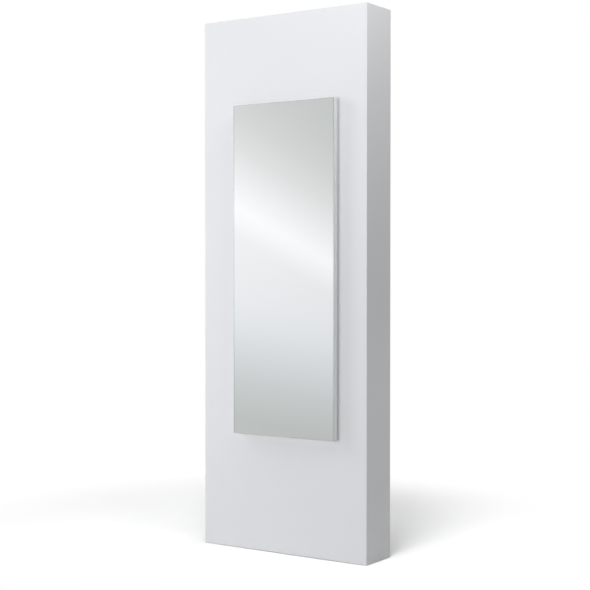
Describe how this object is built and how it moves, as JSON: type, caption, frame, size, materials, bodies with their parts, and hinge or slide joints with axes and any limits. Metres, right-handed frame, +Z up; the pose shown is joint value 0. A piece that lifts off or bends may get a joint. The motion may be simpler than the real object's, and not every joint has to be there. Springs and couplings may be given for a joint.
{
  "type": "free-standing floor mirror",
  "caption": "Tall white box stand that rests on hidden levelling feet, with a slim rectangular full-length mirror hung proud of its front on a bevelled rail.",
  "frame": {"origin": "on the floor, under the centre of the whole object's box; the stand's own centre is 16.5 mm behind it, because the mirror stands 33 mm proud of the front", "axes": "+X to the right of a person facing the mirror, -Y out of the mirror's face towards that person, +Z up"},
  "size_m": [0.81, 0.223, 2.24],
  "materials": {
    "white_lacquer": "satin white lacquer on board",
    "raw_board": "uncoated fibreboard",
    "timber": "planed softwood and beech",
    "mirror_glass": "silvered float glass with polished edges",
    "safety_film": "smooth film",
    "bonding_tape": "foam",
    "adhesive": "cured mastic",
    "frame_aluminium": "satin anodised",
    "rail_aluminium": "mill finish",
    "zinc_steel": "bright zinc plated",
    "plate_steel": "hot-rolled, oiled",
    "bumper_rubber": "matt",
    "foot_plastic": "moulded"
  },
  "bodies": {
    "stand": {"front_panel": "white_lacquer", "left_side_panel": "white_lacquer", "right_side_panel": "white_lacquer", "back_panel": "white_lacquer", "top_panel": "white_lacquer", "base_panel": "raw_board", "left_stile": "timber", "right_stile": "timber", "lower_rib": "raw_board", "middle_rib": "raw_board", "upper_rib": "raw_board", "rail_backing_batten": "timber", "top_panel_dowels": "timber", "base_panel_dowels": "timber", "back_panel_screws": "zinc_steel", "left_ballast_plate": "plate_steel", "right_ballast_plate": "plate_steel", "ballast_bolts": "zinc_steel", "foot_inserts": "zinc_steel", "stand_hanging_rail": "rail_aluminium", "stand_rail_screws": "zinc_steel"},
    "mirror": {"mirror_glass": "mirror_glass", "safety_film": "safety_film", "bonding_tape": "bonding_tape", "adhesive_beads": "adhesive", "backing_board": "raw_board", "frame_left": "frame_aluminium", "frame_right": "frame_aluminium", "frame_top": "frame_aluminium", "frame_bottom": "frame_aluminium", "frame_corner_keys": "zinc_steel", "corner_key_screws": "zinc_steel", "mirror_hanging_rail": "rail_aluminium", "mirror_rail_screws": "zinc_steel", "lower_bumpers": "bumper_rubber"},
    "front_left_foot": {"front_left_foot_stud": "zinc_steel", "front_left_foot_pad": "foot_plastic"},
    "front_right_foot": {"front_right_foot_stud": "zinc_steel", "front_right_foot_pad": "foot_plastic"},
    "back_left_foot": {"back_left_foot_stud": "zinc_steel", "back_left_foot_pad": "foot_plastic"},
    "back_right_foot": {"back_right_foot_stud": "zinc_steel", "back_right_foot_pad": "foot_plastic"}
  },
  "joints": [
    {"name": "mirror_take_off", "type": "slide", "parent": "stand", "child": "mirror", "axis": [0, -0.7071, 0.7071], "range_m": [0, 0.3]},
    {"name": "front_left_foot_screw", "type": "slide", "parent": "stand", "child": "front_left_foot", "axis": [0, 0, -1], "range_m": [0, 0.01]},
    {"name": "front_right_foot_screw", "type": "slide", "parent": "stand", "child": "front_right_foot", "axis": [0, 0, -1], "range_m": [0, 0.01]},
    {"name": "back_left_foot_screw", "type": "slide", "parent": "stand", "child": "back_left_foot", "axis": [0, 0, -1], "range_m": [0, 0.01]},
    {"name": "back_right_foot_screw", "type": "slide", "parent": "stand", "child": "back_right_foot", "axis": [0, 0, -1], "range_m": [0, 0.01]}
  ]
}
